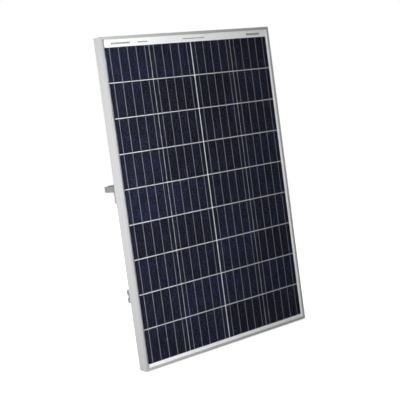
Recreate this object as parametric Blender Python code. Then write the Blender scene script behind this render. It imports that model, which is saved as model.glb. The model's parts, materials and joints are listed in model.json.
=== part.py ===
"""Framed 36-cell solar panel that leans back on its bottom edge and is held by a folding rear leg.

Everything on the panel is modelled in the panel's own axes: X to the right, Y into the depth behind
the front of the frame, Z up along the panel from its bottom edge. One empty carries those axes and
leans back. The leg, the stay and the slider each hang on an empty of their own, on their pivots.
"""

from math import cos, pi, radians, sin, tan

import bmesh
import bpy
from mathutils import Vector

MM = 0.001

# Panel
PANEL_WIDTH = 665 * MM
PANEL_HEIGHT = 1005 * MM
FRAME_DEPTH = 35 * MM
LEAN = radians(12.9)
GAP = 0.3 * MM
BORE_GAP = 0.3 * MM

# Frame section, measured inwards from the outer face and back from the front
FRAME_WALL = 1.8 * MM
LIP_WIDTH = 9 * MM
LIP_THICKNESS = 1.5 * MM
LEDGE_DEPTH = 7.6 * MM
CHAMBER_WIDTH = 6.4 * MM
CHAMBER_FRONT = 9.2 * MM
CHAMBER_BACK = 21 * MM
BACK_FLANGE = 25 * MM
MITRE_GAP = 0.15 * MM
KEY_ARM = 32 * MM
SLOT_LENGTH = 14 * MM
SLOT_WIDTH = 9 * MM
FREE_SLOT_HEIGHT = 780 * MM

# Laminate
GLASS_FRONT = 2 * MM
GLASS_THICKNESS = 3.2 * MM
EDGE_CLEARANCE = 1 * MM
CELL_FRONT = 5.5 * MM
CELL_THICKNESS = 0.2 * MM
SHEET_FRONT = 5.9 * MM
SHEET_THICKNESS = 0.5 * MM
SEAL_WIDTH = 6.5 * MM

# Cells
COLUMNS = 4
ROWS = 9
CELL_WIDTH = 157.7 * MM
CELL_HEIGHT = 103.6 * MM
STRING_GAP = 1.2 * MM
CENTRE_GAP = 2.8 * MM
ROW_PITCH = 105.6 * MM
BOTTOM_MARGIN = 21.6 * MM
RIBBONS = 5
RIBBON_PITCH = CELL_WIDTH / RIBBONS
RIBBON_WIDTH = 1.4 * MM
LINK_WIDTH = 5 * MM
LINK_GAP = 3 * MM

# Junction box
BOX_WIDTH = 118 * MM
BOX_HEIGHT = 96 * MM
BOX_CENTRE_HEIGHT = 880 * MM
BOX_DEPTH = 20 * MM
BOX_WALL = 2.4 * MM
LID_THICKNESS = 2.4 * MM
LID_SKIRT = 5 * MM
LID_CLEARANCE = 0.5 * MM
LID_SEAL_THICKNESS = 1 * MM
LID_SEAL_GAP = 0.1 * MM
HINGE_RISE = 4.5 * MM
HINGE_BACKSET = 4 * MM
BARREL_LENGTH = 64 * MM
BARREL_RADIUS = 3.6 * MM
LID_PIN_LENGTH = 84 * MM
LID_PIN_RADIUS = 1.5 * MM
EAR_BORE_RADIUS = 1.6 * MM
BARREL_BORE_RADIUS = 1.8 * MM
EAR_INNER = 33 * MM
EAR_OUTER = 39 * MM
EAR_CLEARANCE = 0.4 * MM
CARRIER_WIDTH = 88 * MM
CARRIER_HEIGHT = 32 * MM
CARRIER_THICKNESS = 5 * MM
TERMINAL_SPACING = 31 * MM
TERMINAL_WIDTH = 12 * MM
TERMINAL_THICKNESS = 1 * MM
TERMINAL_OVERHANG = 4 * MM
DIODE_LENGTH = 24 * MM
DIODE_BODY_LENGTH = 9 * MM
DIODE_RADIUS = 2.6 * MM
DIODE_LEAD_RADIUS = 0.6 * MM
GLAND_OFFSET = 30 * MM
GLAND_DEPTH = 7.2 * MM
GLAND_THREAD_RADIUS = 4.1 * MM
GLAND_THREAD_INSIDE = 2.5 * MM
GLAND_NUT_RADIUS = 6 * MM
GLAND_NUT_END = 9.5 * MM
GLAND_BARREL_RADIUS = 5.4 * MM
GLAND_BARREL_END = 17 * MM
GLAND_TIP_RADIUS = 4.2 * MM
GLAND_LENGTH = 21 * MM
GLAND_BORE_RADIUS = 2.5 * MM

# Cross rails
SHEET_STEEL = 3 * MM
UPPER_RAIL_TOP = 561 * MM
UPPER_RAIL_LEG = 49 * MM
UPPER_RAIL_INSET = 1 * MM
SHELF_DEPTH = 100 * MM
SHELF_END_DEPTH = 58 * MM
SHELF_CHAMFER = 42 * MM
SHELF_RIM = 16.5 * MM
END_FLANGE = 8 * MM
LOWER_RAIL_HEIGHT = 225 * MM
LOWER_RAIL_INSET = 5.4 * MM
END_PLATE = 1.2 * MM
DRAIN_WIDTH = 8 * MM
DRAIN_DEPTH = 5 * MM
CHANNEL_WIDTH = 41 * MM
CHANNEL_DEPTH = 21 * MM
CHANNEL_WALL = 2 * MM
CHANNEL_SLOT = 22 * MM
CHANNEL_LIP = 6 * MM
BOLT_INSET = 15.5 * MM
BOLT_RADIUS = 3.9 * MM
HEAD_RADIUS = 7.5 * MM
HEAD_HEIGHT = 5.3 * MM
NUT_FLANGE = 1.6 * MM
NUT_HEIGHT = 7 * MM
RAIL_BOLT_REACH = 17 * MM
GUIDE_BOLT_REACH = 32 * MM
PACKER_HEIGHT = 32 * MM
GRIP_PLATE_RADIUS = 15 * MM
GRIP_PLATE_THICKNESS = 4 * MM

# Folding leg
PIVOT_HEIGHT = 521 * MM
PIVOT_DEPTH = 95 * MM
LEG_SPLAY = radians(13)
FOLD = LEAN + LEG_SPLAY
LEG_SIDE = 25 * MM
LEG_WALL = 2 * MM
LEG_SPACING = 112 * MM
LEG_HEAD = 13 * MM
LEG_FLOOR_CLEARANCE = 14 * MM
BRACKET_CHEEK = 2.5 * MM
BRACKET_DEPTH = 30 * MM
BRACKET_DROP = 11 * MM
STAY_RADIUS = 190 * MM
CROSSBAR_DOWN = 452 * MM
CROSSBAR_SIDE = 18 * MM
FOOT_HEIGHT = 32 * MM
FOOT_WALL = 3.5 * MM
FOOT_TAPER_DROP = 8 * MM
PIN_RADIUS = 4 * MM
PIN_HEAD = 1.6 * MM
PIN_DOME = 0.8 * MM
LEG_PIN_STANDOUT = 3.4 * MM
LEG_PIN_HEAD_RADIUS = 7 * MM
AXLE_RADIUS = 8 * MM
STAY_WIDTH = 24 * MM
STAY_THICKNESS = 8 * MM
STAY_SLEEVE = 32 * MM
GUIDE_BOTTOM = 62 * MM
GUIDE_TOP = 548 * MM
SLIDER_TOP = 16 * MM
SLIDER_BOTTOM = 50 * MM
SLIDER_RUNNING = 0.5 * MM
SLIDER_BOLT_ROOM = 6.4 * MM
SLIDER_PROUD = 2 * MM
SLIDER_PIN_HEAD_RADIUS = 6.5 * MM
FORK_HEIGHT = 26 * MM
FORK_WALL = 5 * MM
SLIT_DEPTH = 16 * MM
KNOB_DROP = 34 * MM
KNOB_LOBES = 5

RAIL_BACK = FRAME_DEPTH + GAP
GUIDE_FRONT = RAIL_BACK + CHANNEL_DEPTH + GAP
FLOOR_LIFT = FRAME_DEPTH * sin(LEAN)

BOX_BASE = SHEET_FRONT + SHEET_THICKNESS + GAP
BOX_RIM = BOX_BASE + BOX_DEPTH
BOX_LOW = BOX_CENTRE_HEIGHT - BOX_HEIGHT / 2
BOX_HIGH = BOX_CENTRE_HEIGHT + BOX_HEIGHT / 2
LID_REACH = BOX_WALL + LID_CLEARANCE
LID_BACK = BOX_RIM + LID_SEAL_THICKNESS + GAP + LID_THICKNESS
HINGE_HEIGHT = BOX_HIGH + LID_REACH + HINGE_RISE
HINGE_DEPTH = LID_BACK - HINGE_BACKSET


def clear_scene():
    for obj in list(bpy.data.objects):
        bpy.data.objects.remove(obj, do_unlink=True)


def material(name, red, green, blue, roughness, metallic=0.0):
    made = bpy.data.materials.new(name)
    made.use_nodes = True
    shader = made.node_tree.nodes["Principled BSDF"]
    shader.inputs["Base Color"].default_value = (red, green, blue, 1)
    shader.inputs["Roughness"].default_value = roughness
    shader.inputs["Metallic"].default_value = metallic
    return made


def empty(name, parent=None, location=(0, 0, 0), turn=0.0):
    """An empty at a place in its parent's axes, turned about X."""
    made = bpy.data.objects.new(name, None)
    made.location = location
    made.rotation_euler = (turn, 0, 0)
    made.parent = parent
    bpy.context.scene.collection.objects.link(made)
    return made


def add_object(name, mesh_work, parent, finish, smooth=False):
    bmesh.ops.recalc_face_normals(mesh_work, faces=mesh_work.faces)
    mesh = bpy.data.meshes.new(name)
    mesh_work.to_mesh(mesh)
    mesh_work.free()
    if finish:
        mesh.materials.append(finish)
    if smooth:
        mesh.shade_smooth()
        mesh.set_sharp_from_angle(angle=radians(35))
    made = bpy.data.objects.new(name, mesh)
    made.parent = parent
    bpy.context.scene.collection.objects.link(made)
    return made


def loft(name, rings, parent, finish, smooth=False):
    """A closed skin through rings of equal point count, with a cap at each end."""
    work = bmesh.new()
    loops = [[work.verts.new(point) for point in ring] for ring in rings]
    for near, far in zip(loops, loops[1:]):
        for i in range(len(near)):
            j = (i + 1) % len(near)
            work.faces.new((near[i], near[j], far[j], far[i]))
    work.faces.new(loops[0])
    work.faces.new(loops[-1])
    return add_object(name, work, parent, finish, smooth)


def rectangle(half_x, low_z, high_z, depth):
    """The corners of an upright rectangle at one depth, centred across the panel."""
    return [
        (-half_x, depth, low_z),
        (half_x, depth, low_z),
        (half_x, depth, high_z),
        (-half_x, depth, high_z),
    ]


def box(name, low, high, parent, finish):
    outline = [(low[0], low[1]), (high[0], low[1]), (high[0], high[1]), (low[0], high[1])]
    rings = [[(x, y, z) for x, y in outline] for z in (low[2], high[2])]
    return loft(name, rings, parent, finish)


def section_along_x(name, outline, low, high, parent, finish):
    """An outline of (depth, height) points drawn out along X."""
    rings = [[(x, depth, height) for depth, height in outline] for x in (low, high)]
    return loft(name, rings, parent, finish)


def section_along_z(name, outline, low, high, parent, finish):
    """An outline of (x, depth) points drawn out along Z."""
    rings = [[(x, depth, z) for x, depth in outline] for z in (low, high)]
    return loft(name, rings, parent, finish)


def round_ring(centre, axis, radius, count=18, corners=0):
    """A ring about an axis. With corners it is a polygon, and the radius is to its flats."""
    axis = Vector(axis).normalized()
    side = axis.orthogonal().normalized()
    other = axis.cross(side)
    points = []
    for step in range(count):
        angle = 2 * pi * step / count
        reach = radius
        if corners:
            sector = 2 * pi / corners
            reach = radius / cos((angle % sector) - sector / 2)
        points.append(Vector(centre) + (side * cos(angle) + other * sin(angle)) * reach)
    return points


def turned(name, start, axis, profile, parent, finish, count=18):
    """A turned piece. Its profile is (distance along the axis, radius, corners) from end to end."""
    axis = Vector(axis).normalized()
    rings = [
        round_ring(Vector(start) + axis * along, axis, radius, count, corners)
        for along, radius, corners in profile
    ]
    return loft(name, rings, parent, finish, smooth=True)


def helper(obj):
    """A piece that only cuts or joins another, left out of the model itself."""
    obj.hide_render = True
    obj.display_type = "WIRE"
    return obj


def boolean(target, tool, operation):
    step = target.modifiers.new(tool.name, "BOOLEAN")
    step.operation = operation
    step.solver = "EXACT"
    step.object = helper(tool)
    return target


def cut_round(target, name, centre, axis, radius, length, parent):
    """A round hole through a target, centred on a point."""
    axis = Vector(axis).normalized()
    start = Vector(centre) - axis * length / 2
    tool = turned(name, start, axis, [(0, radius, 0), (length, radius, 0)], parent, None)
    return boolean(target, tool, "DIFFERENCE")


def cut_slot(target, name, centre, parent):
    """A round-ended mounting slot, its length along Z, through a flange that faces Y."""
    reach = (SLOT_LENGTH - SLOT_WIDTH) / 2
    outline = []
    for end, first in ((reach, 0.0), (-reach, pi)):
        for step in range(9):
            angle = first + pi * step / 8
            outline.append((SLOT_WIDTH / 2 * cos(angle), end + SLOT_WIDTH / 2 * sin(angle)))
    rings = [
        [(centre[0] + x, centre[1] + shift, centre[2] + z) for x, z in outline]
        for shift in (-5 * MM, 5 * MM)
    ]
    return boolean(target, loft(name, rings, parent, None), "DIFFERENCE")


# ---------------------------------------------------------------------------------------------- frame


def frame_section():
    """The rail's outline as (inwards, back) points: lip, glass groove, key chamber and back flange."""
    chamber_in = FRAME_WALL + CHAMBER_WIDTH + LIP_THICKNESS
    return [
        (0, 0),
        (LIP_WIDTH, 0),
        (LIP_WIDTH, LIP_THICKNESS),
        (FRAME_WALL, LIP_THICKNESS),
        (FRAME_WALL, LEDGE_DEPTH),
        (chamber_in, LEDGE_DEPTH),
        (chamber_in, CHAMBER_BACK + LIP_THICKNESS),
        (FRAME_WALL, CHAMBER_BACK + LIP_THICKNESS),
        (FRAME_WALL, FRAME_DEPTH - FRAME_WALL),
        (BACK_FLANGE, FRAME_DEPTH - FRAME_WALL),
        (BACK_FLANGE, FRAME_DEPTH),
        (0, FRAME_DEPTH),
    ]


def chamber_section(clearance=0.0):
    low = FRAME_WALL + clearance
    high = FRAME_WALL + CHAMBER_WIDTH - clearance
    return [
        (low, CHAMBER_FRONT + clearance),
        (high, CHAMBER_FRONT + clearance),
        (high, CHAMBER_BACK - clearance),
        (low, CHAMBER_BACK - clearance),
    ]


def rail_point(side, inward, back, end):
    """A point of a frame rail. side names the rail, and end is -1 or 1, the mitred end it lies on."""
    across = PANEL_WIDTH / 2
    if side == "left":
        low, high = inward + MITRE_GAP, PANEL_HEIGHT - inward - MITRE_GAP
        return (-across + inward, back, low if end < 0 else high)
    if side == "right":
        low, high = inward + MITRE_GAP, PANEL_HEIGHT - inward - MITRE_GAP
        return (across - inward, back, low if end < 0 else high)
    reach = across - inward - MITRE_GAP
    height = inward if side == "bottom" else PANEL_HEIGHT - inward
    return (reach * end, back, height)


def frame_rail(side, parent, finish):
    """One rail: the section drawn between two mitres, with the key chamber open at both ends."""
    work = bmesh.new()
    ends = {}
    for end in (-1, 1):
        loops = []
        for outline in (frame_section(), chamber_section()):
            loops.append([work.verts.new(rail_point(side, a, b, end)) for a, b in outline])
        ends[end] = loops
    for part in (0, 1):
        near, far = ends[-1][part], ends[1][part]
        for i in range(len(near)):
            j = (i + 1) % len(near)
            work.faces.new((near[i], near[j], far[j], far[i]))
    for end in (-1, 1):
        rim = []
        for loop in ends[end]:
            for i in range(len(loop)):
                rim.append(work.edges.get((loop[i], loop[(i + 1) % len(loop)])))
        bmesh.ops.triangle_fill(work, edges=rim, use_beauty=True)
    return add_object("frame_" + side, work, parent, finish)


def corner_key(name, across, upward, parent, finish):
    """The angle pressed into the chambers of two rails. across and upward are -1 or 1."""
    section = chamber_section(GAP)
    low, high = section[0][0], section[1][0]
    outline = [
        (low, low),
        (KEY_ARM, low),
        (KEY_ARM, high),
        (high, high),
        (high, KEY_ARM),
        (low, KEY_ARM),
    ]
    corner_x = across * PANEL_WIDTH / 2
    corner_z = PANEL_HEIGHT if upward > 0 else 0.0
    rings = [
        [(corner_x - across * a, back, corner_z - upward * b) for a, b in outline]
        for back in (section[0][1], section[2][1])
    ]
    return loft(name, rings, parent, finish)


def build_frame(panel, aluminium, key_metal):
    rails = {}
    for side in ("left", "right", "top", "bottom"):
        rails[side] = frame_rail(side, panel, aluminium)
    for side, across in (("left", -1), ("right", 1)):
        x = across * (PANEL_WIDTH / 2 - BOLT_INSET)
        back = FRAME_DEPTH - FRAME_WALL / 2
        heights = (LOWER_RAIL_HEIGHT, UPPER_RAIL_TOP - UPPER_RAIL_LEG / 2, FREE_SLOT_HEIGHT)
        for number, height in enumerate(heights, 1):
            cut_slot(rails[side], f"slot_{side}_{number}", (x, back, height), panel)
    for row, upward in (("top", 1), ("bottom", -1)):
        for side, across in (("left", -1), ("right", 1)):
            corner_key(f"corner_key_{row}_{side}", across, upward, panel, key_metal)


# ------------------------------------------------------------------------------------------- laminate


def sheet(name, front, thickness, parent, finish):
    edge = FRAME_WALL + EDGE_CLEARANCE
    low = (-PANEL_WIDTH / 2 + edge, front, edge)
    high = (PANEL_WIDTH / 2 - edge, front + thickness, PANEL_HEIGHT - edge)
    return box(name, low, high, parent, finish)


def column_centre(column):
    """The strings stand close together in pairs, with a wider gap up the middle of the panel."""
    from_middle = column - (COLUMNS - 1) / 2
    outward = (CENTRE_GAP + CELL_WIDTH) / 2 + (abs(from_middle) - 0.5) * (CELL_WIDTH + STRING_GAP)
    return outward if from_middle > 0 else -outward


def ribbon_centres(column):
    middle = column_centre(column)
    return [middle + (i - (RIBBONS - 1) / 2) * RIBBON_PITCH for i in range(RIBBONS)]


def cell_bottom(row):
    return BOTTOM_MARGIN + row * ROW_PITCH


def cell_string(column, parent, finish):
    """Nine cells joined by ribbons that bridge each gap and stand a little proud of both end cells."""
    half = CELL_WIDTH / 2
    xs = [column_centre(column) - half]
    for centre in ribbon_centres(column):
        xs += [centre - RIBBON_WIDTH / 2, centre + RIBBON_WIDTH / 2]
    xs.append(column_centre(column) + half)
    zs = [cell_bottom(0) - LINK_GAP]
    for row in range(ROWS):
        zs += [cell_bottom(row), cell_bottom(row) + CELL_HEIGHT]
    zs.append(zs[-1] + LINK_GAP)
    work = bmesh.new()
    grid = {}

    def corner(i, j):
        if (i, j) not in grid:
            grid[i, j] = work.verts.new((xs[i], CELL_FRONT, zs[j]))
        return grid[i, j]

    for j in range(len(zs) - 1):
        for i in range(len(xs) - 1):
            if j % 2 == 1 or i % 2 == 1:
                work.faces.new((corner(i, j), corner(i + 1, j), corner(i + 1, j + 1), corner(i, j + 1)))
    made = bmesh.ops.extrude_face_region(work, geom=list(work.faces), use_keep_orig=True)
    moved = [item for item in made["geom"] if isinstance(item, bmesh.types.BMVert)]
    bmesh.ops.translate(work, verts=moved, vec=(0, CELL_THICKNESS, 0))
    return add_object(f"cell_string_{column + 1}", work, parent, finish)


def link(name, low_x, high_x, at_top, parent, finish):
    """A flat ribbon across the ends of the strings' own ribbons, just past them."""
    if at_top:
        low_z = cell_bottom(ROWS - 1) + CELL_HEIGHT + LINK_GAP + GAP
    else:
        low_z = cell_bottom(0) - LINK_GAP - GAP - LINK_WIDTH
    low = (low_x, CELL_FRONT, low_z)
    high = (high_x, CELL_FRONT + CELL_THICKNESS, low_z + LINK_WIDTH)
    return box(name, low, high, parent, finish)


def edge_seal(parent, finish):
    """The foam strip between the laminate's back edge and the rails' ledge, one ring."""
    outer_x = PANEL_WIDTH / 2 - FRAME_WALL - GAP
    inner_x = outer_x - SEAL_WIDTH
    outer_low = FRAME_WALL + GAP
    front = SHEET_FRONT + SHEET_THICKNESS + GAP / 2
    back = LEDGE_DEPTH - GAP / 2
    rings = []
    for half_x, low_z, depth in (
        (outer_x, outer_low, front),
        (outer_x, outer_low, back),
        (inner_x, outer_low + SEAL_WIDTH, back),
        (inner_x, outer_low + SEAL_WIDTH, front),
    ):
        rings.append(rectangle(half_x, low_z, PANEL_HEIGHT - low_z, depth))
    return closed_ring("edge_seal", rings, parent, finish)


def closed_ring(name, rings, parent, finish):
    """A hoop whose section runs through the rings and back to the first."""
    work = bmesh.new()
    loops = [[work.verts.new(point) for point in ring] for ring in rings]
    for k in range(len(loops)):
        near, far = loops[k], loops[(k + 1) % len(loops)]
        for i in range(len(near)):
            j = (i + 1) % len(near)
            work.faces.new((near[i], near[j], far[j], far[i]))
    return add_object(name, work, parent, finish)


def build_laminate(panel, looks):
    sheet("front_glass", GLASS_FRONT, GLASS_THICKNESS, panel, looks["glass"])
    for column in range(COLUMNS):
        cell_string(column, panel, looks["cell"])
    half = CELL_WIDTH / 2
    centres = [column_centre(column) for column in range(COLUMNS)]
    ribbon = looks["ribbon"]
    link("string_link_bottom_left", centres[0] - half, centres[1] + half, False, panel, ribbon)
    link("string_link_bottom_right", centres[2] - half, centres[3] + half, False, panel, ribbon)
    link("string_link_top", centres[1] - half, centres[2] + half, True, panel, ribbon)
    link("output_ribbon_left", centres[0] - half, centres[0] + half, True, panel, ribbon)
    link("output_ribbon_right", centres[3] - half, centres[3] + half, True, panel, ribbon)
    sheet("backsheet", SHEET_FRONT, SHEET_THICKNESS, panel, looks["backsheet"])
    edge_seal(panel, looks["seal"])


# --------------------------------------------------------------------------------------- junction box


def tray(name, half_x, low_z, high_z, closed_at, open_at, wall, floor, parent, finish):
    """An open box: its floor at depth closed_at, its rim at depth open_at."""
    inward = floor if open_at > closed_at else -floor
    rings = [
        rectangle(half_x - inset, low_z + inset, high_z - inset, depth)
        for inset, depth in ((0, closed_at), (0, open_at), (wall, open_at), (wall, closed_at + inward))
    ]
    return loft(name, rings, parent, finish)


def lid_seal(panel, finish):
    """The rubber ring that lies on the box's rim."""
    outer = 0.2 * MM
    front = BOX_RIM + LID_SEAL_GAP
    back = front + LID_SEAL_THICKNESS
    inner = outer + BOX_WALL
    rings = [
        rectangle(BOX_WIDTH / 2 - inset, BOX_LOW + inset, BOX_HIGH - inset, depth)
        for inset, depth in ((outer, front), (outer, back), (inner, back), (inner, front))
    ]
    return closed_ring("lid_seal", rings, panel, finish)


def junction_lid(pivot, plastic):
    """The lid's skirt reaches down round the box, and a barrel at its upper edge turns on the pin."""
    low = BOX_LOW - LID_REACH - HINGE_HEIGHT
    high = BOX_HIGH + LID_REACH - HINGE_HEIGHT
    outside = LID_BACK - HINGE_DEPTH
    skirt_end = BOX_RIM - LID_SKIRT - HINGE_DEPTH
    half_x = BOX_WIDTH / 2 + LID_REACH
    lid = tray(
        "junction_lid", half_x, low, high, outside, skirt_end, BOX_WALL, LID_THICKNESS, pivot, plastic
    )
    reach = BARREL_LENGTH / 2
    profile = [(0, BARREL_RADIUS, 0), (BARREL_LENGTH, BARREL_RADIUS, 0)]
    barrel = turned("lid_barrel", (-reach, 0, 0), (1, 0, 0), profile, pivot, plastic)
    boolean(lid, barrel, "UNION")
    web_low = (-reach, 0.5 * MM, high - 1 * MM)
    web_high = (reach, 3.4 * MM, -1 * MM)
    boolean(lid, box("lid_web", web_low, web_high, pivot, plastic), "UNION")
    # The lid has no skirt along its hinge, so that it swings clear of the box's rim.
    open_low = (-half_x - 9 * MM, -40 * MM, BOX_HIGH - HINGE_HEIGHT - 0.2 * MM)
    open_high = (half_x + 9 * MM, BOX_RIM + 1.2 * MM - HINGE_DEPTH, high + GAP)
    boolean(lid, box("lid_hinge_side", open_low, open_high, pivot, None), "DIFFERENCE")
    return cut_round(lid, "lid_bore", (0, 0, 0), (1, 0, 0), BARREL_BORE_RADIUS, 90 * MM, pivot)


def lid_hinge(shell, lid, panel, pivot, looks):
    """Two ears on the box hold the pin's ends, and the lid is notched round them."""
    profile = [(0, LID_PIN_RADIUS, 0), (LID_PIN_LENGTH, LID_PIN_RADIUS, 0)]
    pin_start = (-LID_PIN_LENGTH / 2, 0, 0)
    turned("lid_pin", pin_start, (1, 0, 0), profile, pivot, looks["steel"], 12)
    ear_front = BOX_BASE + 4 * MM
    ear_waist = BOX_RIM - 0.5 * MM
    ear_back = HINGE_DEPTH + 3 * MM
    ear_top = HINGE_HEIGHT + 3.4 * MM
    root = BOX_HIGH - 1 * MM
    step = BOX_HIGH + 0.2 * MM
    outline = [
        (ear_front, root),
        (ear_waist, root),
        (ear_waist, step),
        (ear_back, step),
        (ear_back, ear_top),
        (ear_front, ear_top),
    ]
    for side in (-1, 1):
        low_x, high_x = sorted((side * EAR_INNER, side * EAR_OUTER))
        ear = section_along_x(f"lid_ear_{side + 2}", outline, low_x, high_x, panel, looks["plastic"])
        boolean(shell, ear, "UNION")
        notch_low = (low_x - EAR_CLEARANCE, -40 * MM, BOX_HIGH - 0.9 * MM - HINGE_HEIGHT)
        notch_high = (high_x + EAR_CLEARANCE, 40 * MM, 20 * MM)
        boolean(lid, box(f"lid_notch_{side + 2}", notch_low, notch_high, pivot, None), "DIFFERENCE")
    hinge = (0, HINGE_DEPTH, HINGE_HEIGHT)
    cut_round(shell, "ear_bore", hinge, (1, 0, 0), EAR_BORE_RADIUS, 90 * MM, panel)


def terminals(panel, looks):
    """A carrier on the box's floor, three plates on the carrier, and a diode between each two plates."""
    floor = BOX_BASE + BOX_WALL
    carrier_back = floor + CARRIER_THICKNESS
    low = BOX_CENTRE_HEIGHT - CARRIER_HEIGHT / 2
    high = BOX_CENTRE_HEIGHT + CARRIER_HEIGHT / 2
    half = CARRIER_WIDTH / 2
    box("terminal_carrier", (-half, floor + GAP, low), (half, carrier_back, high), panel, looks["carrier"])
    front = carrier_back + GAP
    back = front + TERMINAL_THICKNESS
    for name, x in (("left", -TERMINAL_SPACING), ("middle", 0.0), ("right", TERMINAL_SPACING)):
        plate_low = (x - TERMINAL_WIDTH / 2, front, low - TERMINAL_OVERHANG)
        plate_high = (x + TERMINAL_WIDTH / 2, back, high + TERMINAL_OVERHANG)
        box("terminal_plate_" + name, plate_low, plate_high, panel, looks["tin"])
    body_start = (DIODE_LENGTH - DIODE_BODY_LENGTH) / 2
    body_end = body_start + DIODE_BODY_LENGTH
    profile = [
        (0, DIODE_LEAD_RADIUS, 0),
        (body_start, DIODE_LEAD_RADIUS, 0),
        (body_start, DIODE_RADIUS, 0),
        (body_end, DIODE_RADIUS, 0),
        (body_end, DIODE_LEAD_RADIUS, 0),
        (DIODE_LENGTH, DIODE_LEAD_RADIUS, 0),
    ]
    for number, x in ((1, -TERMINAL_SPACING / 2), (2, TERMINAL_SPACING / 2)):
        start = (x - DIODE_LENGTH / 2, back + GAP + DIODE_RADIUS, BOX_CENTRE_HEIGHT)
        turned(f"bypass_diode_{number}", start, (1, 0, 0), profile, panel, looks["diode"], 12)


def glands(shell, panel, plastic):
    """Two glands screw into the box's lower wall, under the lid's skirt."""
    depth = BOX_BASE + GLAND_DEPTH
    nut_start = GLAND_THREAD_INSIDE + BOX_WALL + GAP
    profile = [
        (0, GLAND_THREAD_RADIUS, 0),
        (nut_start, GLAND_THREAD_RADIUS, 0),
        (nut_start, GLAND_NUT_RADIUS, 6),
        (GLAND_NUT_END, GLAND_NUT_RADIUS, 6),
        (GLAND_NUT_END, GLAND_BARREL_RADIUS, 0),
        (GLAND_BARREL_END, GLAND_BARREL_RADIUS, 0),
        (GLAND_LENGTH, GLAND_TIP_RADIUS, 0),
    ]
    for name, x in (("left", -GLAND_OFFSET), ("right", GLAND_OFFSET)):
        wall = (x, depth, BOX_LOW)
        hole = GLAND_THREAD_RADIUS + GAP
        cut_round(shell, f"gland_hole_{name}", wall, (0, 0, 1), hole, 12 * MM, panel)
        start = (x, depth, BOX_LOW + BOX_WALL + GLAND_THREAD_INSIDE)
        gland = turned("cable_gland_" + name, start, (0, 0, -1), profile, panel, plastic)
        cut_round(gland, f"gland_bore_{name}", wall, (0, 0, 1), GLAND_BORE_RADIUS, 80 * MM, panel)


def build_junction_box(panel, looks):
    plastic = looks["plastic"]
    half_x = BOX_WIDTH / 2
    shell = tray(
        "junction_box", half_x, BOX_LOW, BOX_HIGH, BOX_BASE, BOX_RIM, BOX_WALL, BOX_WALL, panel, plastic
    )
    lid_seal(panel, looks["rubber"])
    pivot = empty("lid_axis", panel, (0, HINGE_DEPTH, HINGE_HEIGHT))
    lid = junction_lid(pivot, plastic)
    lid_hinge(shell, lid, panel, pivot, looks)
    terminals(panel, looks)
    glands(shell, panel, plastic)


# ---------------------------------------------------------------------------------------- cross rails


def channel_outline():
    """A lipped channel as (across, out) points: its web at 0, its slot facing outwards."""
    half = CHANNEL_WIDTH / 2
    inner = half - CHANNEL_WALL
    slot = CHANNEL_SLOT / 2
    deep = CHANNEL_DEPTH
    right = [
        (half, 0),
        (half, deep),
        (slot, deep),
        (slot, deep - CHANNEL_LIP),
        (slot + CHANNEL_WALL, deep - CHANNEL_LIP),
        (slot + CHANNEL_WALL, deep - CHANNEL_WALL),
        (inner, deep - CHANNEL_WALL),
        (inner, CHANNEL_WALL),
    ]
    return right + [(-across, out) for across, out in reversed(right)]


def upper_rail(parent, finish):
    """Pressed steel rail: a leg on the frame's back, and a shelf whose chamfered rim is turned down."""
    half = PANEL_WIDTH / 2 - UPPER_RAIL_INSET
    top = UPPER_RAIL_TOP
    front = RAIL_BACK
    back = FRAME_DEPTH + SHELF_DEPTH
    corner = FRAME_DEPTH + SHELF_END_DEPTH
    steel = SHEET_STEEL

    def plan(inset, front_depth):
        slant = inset * tan(pi / 8)
        return [
            (-half + inset, front_depth),
            (-half + inset, corner - slant),
            (-half + SHELF_CHAMFER + slant, back - inset),
            (half - SHELF_CHAMFER - slant, back - inset),
            (half - inset, corner - slant),
            (half - inset, front_depth),
        ]

    shelf = section_along_z("upper_rail", plan(0, front), top - SHELF_RIM, top, parent, finish)
    hollow = section_along_z(
        "upper_rail_hollow", plan(steel, front - steel), top - 2 * SHELF_RIM, top - steel, parent, None
    )
    boolean(shelf, hollow, "DIFFERENCE")
    leg = box(
        "upper_rail_leg",
        (-half, front, top - UPPER_RAIL_LEG),
        (half, front + steel, top - steel / 2),
        parent,
        None,
    )
    boolean(shelf, leg, "UNION")
    for side in (-1, 1):
        low_x, high_x = sorted((side * half, side * (half - steel)))
        flange = box(
            f"upper_rail_end_{side + 2}",
            (low_x, front, top - UPPER_RAIL_LEG),
            (high_x, front + END_FLANGE, top - steel / 2),
            parent,
            None,
        )
        boolean(shelf, flange, "UNION")
    return shelf


def close_channel(channel, half, parent):
    """A plate welded in each end of the lower rail, with a drain notch in its open edge."""
    back = RAIL_BACK + CHANNEL_DEPTH
    reach = CHANNEL_WIDTH / 2
    drain = DRAIN_WIDTH / 2
    outline = [
        (RAIL_BACK, LOWER_RAIL_HEIGHT - reach),
        (back, LOWER_RAIL_HEIGHT - reach),
        (back, LOWER_RAIL_HEIGHT - drain),
        (back - DRAIN_DEPTH, LOWER_RAIL_HEIGHT - drain),
        (back - DRAIN_DEPTH, LOWER_RAIL_HEIGHT + drain),
        (back, LOWER_RAIL_HEIGHT + drain),
        (back, LOWER_RAIL_HEIGHT + reach),
        (RAIL_BACK, LOWER_RAIL_HEIGHT + reach),
    ]
    for side in (-1, 1):
        low_x, high_x = sorted((side * half, side * (half - END_PLATE)))
        plate = section_along_x(f"channel_end_{side + 2}", outline, low_x, high_x, parent, None)
        boolean(channel, plate, "UNION")


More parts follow.
